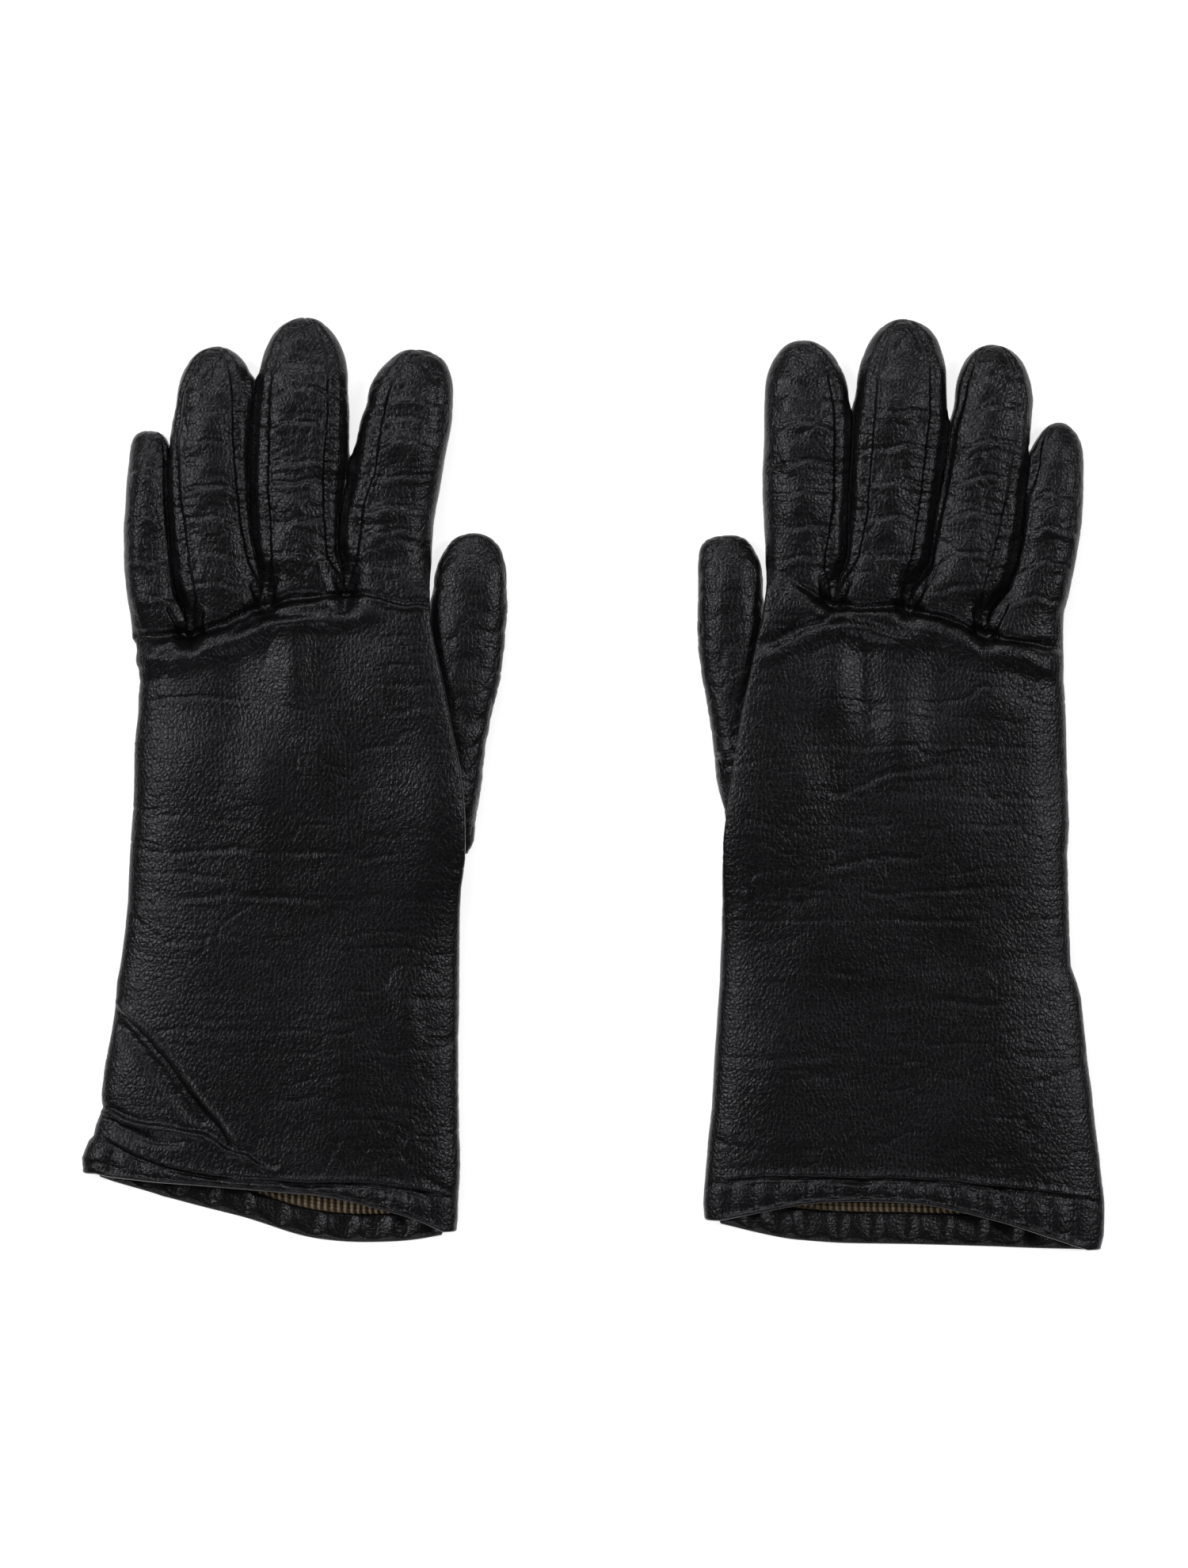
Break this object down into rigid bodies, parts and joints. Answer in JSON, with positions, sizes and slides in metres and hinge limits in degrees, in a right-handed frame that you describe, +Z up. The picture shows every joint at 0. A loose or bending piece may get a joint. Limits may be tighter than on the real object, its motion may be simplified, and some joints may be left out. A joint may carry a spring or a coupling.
{
  "type": "leather gloves",
  "caption": "Long black leather dress gloves lying palm down, knit lined, with sewn fourchettes, bending fingers, swinging thumbs and cuffs that fold at the wrist",
  "frame": {"origin": "centre of the pair's footprint, on the surface it lies on", "axes": "+Z up from the surface to the backs of the hands, +Y towards the fingertips, +X from the left-hand glove to the right-hand glove"},
  "size_m": [0.2846, 0.2578, 0.0142],
  "materials": {
    "leather": "soft semi-gloss fine-grained black nappa",
    "hem_leather": "semi-gloss black, turned hem and facing",
    "knit_lining": "beige ribbed knit"
  },
  "bodies": {
    "left_hand": {"left_back_panel": "leather", "left_palm_panel": "leather", "left_hand_lining": "knit_lining"},
    "left_cuff": {"left_cuff_back": "leather", "left_cuff_palm": "leather", "left_cuff_hem": "hem_leather", "left_cuff_lining": "knit_lining"},
    "left_index": {"left_index_back": "leather", "left_index_palm": "leather", "left_index_fourchette_outer_side": "leather", "left_index_lining": "knit_lining"},
    "left_middle": {"left_middle_back": "leather", "left_middle_palm": "leather", "left_middle_fourchette_thumb_side": "leather", "left_middle_fourchette_outer_side": "leather", "left_middle_lining": "knit_lining"},
    "left_ring": {"left_ring_back": "leather", "left_ring_palm": "leather", "left_ring_fourchette_thumb_side": "leather", "left_ring_fourchette_outer_side": "leather", "left_ring_lining": "knit_lining"},
    "left_little": {"left_little_back": "leather", "left_little_palm": "leather", "left_little_fourchette_thumb_side": "leather", "left_little_lining": "knit_lining"},
    "left_thumb": {"left_thumb_back": "leather", "left_thumb_palm": "leather", "left_thumb_lining": "knit_lining"},
    "right_hand": {"right_back_panel": "leather", "right_palm_panel": "leather", "right_hand_lining": "knit_lining"},
    "right_cuff": {"right_cuff_back": "leather", "right_cuff_palm": "leather", "right_cuff_hem": "hem_leather", "right_cuff_lining": "knit_lining"},
    "right_index": {"right_index_back": "leather", "right_index_palm": "leather", "right_index_fourchette_outer_side": "leather", "right_index_lining": "knit_lining"},
    "right_middle": {"right_middle_back": "leather", "right_middle_palm": "leather", "right_middle_fourchette_outer_side": "leather", "right_middle_fourchette_thumb_side": "leather", "right_middle_lining": "knit_lining"},
    "right_ring": {"right_ring_back": "leather", "right_ring_palm": "leather", "right_ring_fourchette_outer_side": "leather", "right_ring_fourchette_thumb_side": "leather", "right_ring_lining": "knit_lining"},
    "right_little": {"right_little_back": "leather", "right_little_palm": "leather", "right_little_fourchette_thumb_side": "leather", "right_little_lining": "knit_lining"},
    "right_thumb": {"right_thumb_back": "leather", "right_thumb_palm": "leather", "right_thumb_lining": "knit_lining"}
  },
  "joints": [
    {"name": "left_index_bend", "type": "hinge", "parent": "left_hand", "child": "left_index", "pos_m": [-0.0563, 0.05425, 0], "axis": [-1, 0, 0], "range_deg": [-18, 80]},
    {"name": "left_middle_bend", "type": "hinge", "parent": "left_hand", "child": "left_middle", "pos_m": [-0.07945, 0.05425, 0], "axis": [-1, 0, 0], "range_deg": [-18, 80]},
    {"name": "left_ring_bend", "type": "hinge", "parent": "left_hand", "child": "left_ring", "pos_m": [-0.1032, 0.05425, 0], "axis": [-1, 0, 0], "range_deg": [-18, 80]},
    {"name": "left_little_bend", "type": "hinge", "parent": "left_hand", "child": "left_little", "pos_m": [-0.12285, 0.05425, 0], "axis": [-1, 0, 0], "range_deg": [-18, 80]},
    {"name": "left_thumb_swing", "type": "hinge", "parent": "left_hand", "child": "left_thumb", "pos_m": [-0.037, -0.00555, 0], "axis": [0, 0, -1], "range_deg": [0, 35]},
    {"name": "left_wrist_fold", "type": "hinge", "parent": "left_hand", "child": "left_cuff", "pos_m": [-0.08255, -0.02555, 0], "axis": [1, 0, 0], "range_deg": [-18, 60]},
    {"name": "right_index_bend", "type": "hinge", "parent": "right_hand", "child": "right_index", "pos_m": [0.05725, 0.05425, 0], "axis": [-1, 0, 0], "range_deg": [-18, 80]},
    {"name": "right_middle_bend", "type": "hinge", "parent": "right_hand", "child": "right_middle", "pos_m": [0.0791, 0.05425, 0], "axis": [-1, 0, 0], "range_deg": [-18, 80]},
    {"name": "right_ring_bend", "type": "hinge", "parent": "right_hand", "child": "right_ring", "pos_m": [0.1025, 0.05425, 0], "axis": [-1, 0, 0], "range_deg": [-18, 80]},
    {"name": "right_little_bend", "type": "hinge", "parent": "right_hand", "child": "right_little", "pos_m": [0.1238, 0.05425, 0], "axis": [-1, 0, 0], "range_deg": [-18, 80]},
    {"name": "right_thumb_swing", "type": "hinge", "parent": "right_hand", "child": "right_thumb", "pos_m": [0.0406, -0.00555, 0], "axis": [0, 0, 1], "range_deg": [0, 35]},
    {"name": "right_wrist_fold", "type": "hinge", "parent": "right_hand", "child": "right_cuff", "pos_m": [0.08395, -0.02555, 0], "axis": [1, 0, 0], "range_deg": [-18, 60]},
    {"name": "pair_spread", "type": "slide", "parent": "left_hand", "child": "right_hand", "axis": [1, 0, 0], "range_m": [-0.03, 0.15]}
  ]
}
